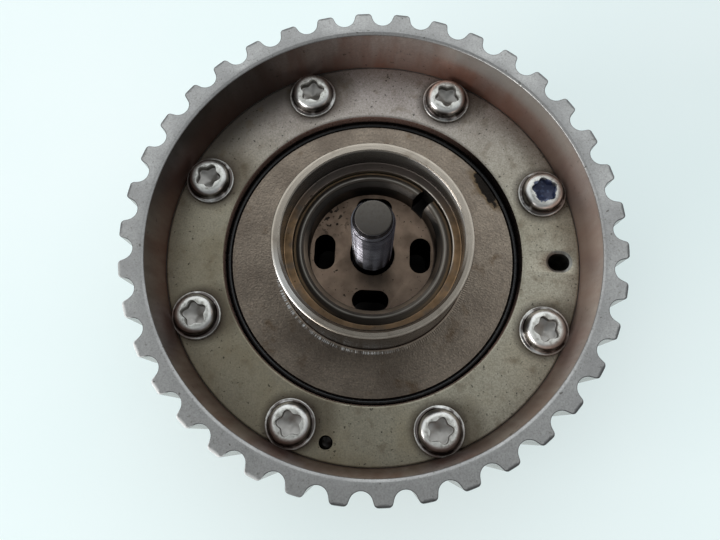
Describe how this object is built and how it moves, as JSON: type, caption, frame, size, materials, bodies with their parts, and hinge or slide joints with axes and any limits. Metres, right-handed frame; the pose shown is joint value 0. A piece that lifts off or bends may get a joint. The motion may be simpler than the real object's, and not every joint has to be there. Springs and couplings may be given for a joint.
{
  "type": "cam phaser",
  "caption": "Belt-driven variable cam timing phaser: toothed rim around a vane housing, rear collar, rotor with oil slots and a center bolt.",
  "frame": {"origin": "center of the front cover's outer face, which the part lies on", "axes": "+Z along the cam axis towards the camshaft; +X through the tooling hole"},
  "size_m": [0.0954, 0.0952, 0.0526],
  "materials": {
    "sintered_rim": "satin sintered steel",
    "sintered_housing": "satin sintered steel",
    "steel_cover": "machined",
    "turned_steel": "turned",
    "phosphated_steel": "satin phosphated",
    "zinc_steel": "zinc bright",
    "dark_steel": "oiled dark",
    "black_rubber": "oily gloss",
    "hard_steel": "ground",
    "sintered_rotor": "machined, oil-stained",
    "seal_plastic": "matt"
  },
  "bodies": {
    "housing": {"pulley": "sintered_rim", "stator": "sintered_housing", "front_cover": "steel_cover", "rear_cover": "turned_steel", "clamp_ring": "phosphated_steel", "cover_screws": "zinc_steel", "locating_dowel": "dark_steel", "groove_seal": "black_rubber", "front_face_seal": "black_rubber", "rear_face_seal": "black_rubber", "front_plug": "zinc_steel", "plug_seal": "black_rubber", "lock_bush_1": "hard_steel", "lock_bush_2": "hard_steel", "lobe_seal_1": "seal_plastic", "lobe_seal_2": "seal_plastic", "lobe_seal_3": "seal_plastic", "lobe_seal_4": "seal_plastic", "lobe_leaf_1": "hard_steel", "lobe_leaf_2": "hard_steel", "lobe_leaf_3": "hard_steel", "lobe_leaf_4": "hard_steel"},
    "rotor": {"rotor": "sintered_rotor", "center_bolt": "dark_steel", "spring_seat": "hard_steel", "lock_spring": "hard_steel", "vane_seal_1": "seal_plastic", "vane_seal_2": "seal_plastic", "vane_seal_3": "seal_plastic", "vane_seal_4": "seal_plastic", "vane_leaf_1": "hard_steel", "vane_leaf_2": "hard_steel", "vane_leaf_3": "hard_steel", "vane_leaf_4": "hard_steel"},
    "lock_pin": {"lock_pin": "hard_steel"}
  },
  "joints": [
    {"name": "rotor_phase", "type": "hinge", "parent": "housing", "child": "rotor", "pos_m": [0, 0, 0], "axis": [0, 0, 1], "range_deg": [0, 26]},
    {"name": "lock_pin_slide", "type": "slide", "parent": "rotor", "child": "lock_pin", "axis": [0, 0, -1], "range_m": [0, 0.0026], "stiffness_N_per_m": 300, "springref_m": 0.006, "deforming": ["lock_spring"]}
  ]
}
